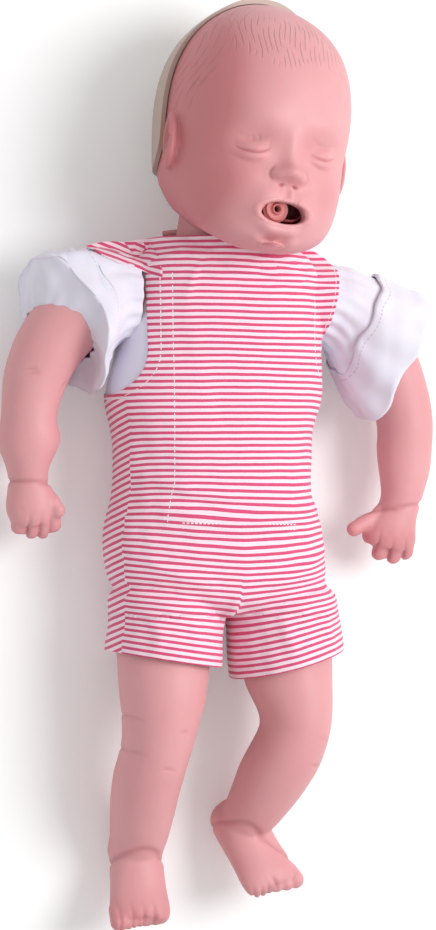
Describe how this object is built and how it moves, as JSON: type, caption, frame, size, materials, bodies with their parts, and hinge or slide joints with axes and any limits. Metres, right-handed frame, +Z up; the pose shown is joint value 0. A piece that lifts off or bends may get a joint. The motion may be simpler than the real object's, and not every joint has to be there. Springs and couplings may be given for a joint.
{
  "type": "infant resuscitation training manikin",
  "caption": "Infant resuscitation training manikin on its back, with an open airway, movable limbs and head, in a white shirt and a striped romper.",
  "frame": {"origin": "on the surface it lies on, at the middle of the flat of its back", "axes": "+X to the manikin's left, +Y towards the top of its head, +Z up out of its chest"},
  "size_m": [0.2954, 0.6005, 0.1502],
  "materials": {
    "skin": "soft matt moulded vinyl",
    "pale_tube": "smooth",
    "cream_shell": "matt moulded plastic",
    "rigid_plastic": "moulded plastic",
    "airway_soft": "smooth",
    "tube_soft": "smooth",
    "bag_film": "smooth film",
    "steel": "satin",
    "shirt_cloth": "plain woven cotton",
    "romper_cloth": "horizontally striped pink and white cotton"
  },
  "bodies": {
    "torso": {"torso_skin": "skin", "back_cover": "rigid_plastic", "guide_screw_1": "steel", "guide_screw_2": "steel", "guide_screw_3": "steel", "guide_screw_4": "steel", "spring_guide": "rigid_plastic", "compression_spring": "steel", "airway_hose": "tube_soft", "neck_collar": "rigid_plastic", "shirt_body": "shirt_cloth", "romper": "romper_cloth"},
    "chest": {"chest_plate": "rigid_plastic", "lung_bag": "bag_film"},
    "neck": {"neck_post": "rigid_plastic", "neck_retaining_ring": "rigid_plastic"},
    "head": {"face_skin": "skin", "skull_back_shell": "cream_shell", "skull_frame": "rigid_plastic", "mouth_insert": "airway_soft", "throat_tube": "tube_soft", "vent_tube": "pale_tube", "tilt_pin": "steel", "skull_screw_1": "steel", "skull_screw_2": "steel"},
    "arm_left": {"arm_left": "skin", "shoulder_plug_left": "rigid_plastic", "shirt_sleeve_left": "shirt_cloth"},
    "leg_left": {"leg_left": "skin", "hip_plug_left": "rigid_plastic"},
    "arm_right": {"arm_right": "skin", "shoulder_plug_right": "rigid_plastic", "shirt_sleeve_right": "shirt_cloth"},
    "leg_right": {"leg_right": "skin", "hip_plug_right": "rigid_plastic"}
  },
  "joints": [
    {"name": "neck_turn", "type": "hinge", "parent": "torso", "child": "neck", "pos_m": [0, 0.126, 0.053], "axis": [0.1392, 0.9903, 0], "range_deg": [-30, 30]},
    {"name": "head_tilt", "type": "hinge", "parent": "neck", "child": "head", "pos_m": [0, 0.126, 0.053], "axis": [-0.9848, 0.1384, 0.1045], "range_deg": [0, 25]},
    {"name": "chest_compression", "type": "slide", "parent": "torso", "child": "chest", "axis": [0, 0, -1], "range_m": [0, 0.027], "stiffness_N_per_m": 2500, "deforming": ["compression_spring", "airway_hose", "torso_skin", "shirt_body", "romper"]},
    {"name": "shoulder_left", "type": "hinge", "parent": "torso", "child": "arm_left", "pos_m": [0.066, 0.092, 0.047], "axis": [1, 0, 0], "range_deg": [-30, 100], "deforming": ["shirt_body"]},
    {"name": "hip_left", "type": "hinge", "parent": "torso", "child": "leg_left", "pos_m": [0.04, -0.084, 0.046], "axis": [-0.8192, 0.5736, 0], "range_deg": [-10, 60], "deforming": ["romper"]},
    {"name": "shoulder_right", "type": "hinge", "parent": "torso", "child": "arm_right", "pos_m": [-0.066, 0.092, 0.047], "axis": [1, 0, 0], "range_deg": [-30, 100], "deforming": ["shirt_body"]},
    {"name": "hip_right", "type": "hinge", "parent": "torso", "child": "leg_right", "pos_m": [-0.04, -0.084, 0.046], "axis": [-0.8192, -0.5736, 0], "range_deg": [-10, 60], "deforming": ["romper"]}
  ]
}
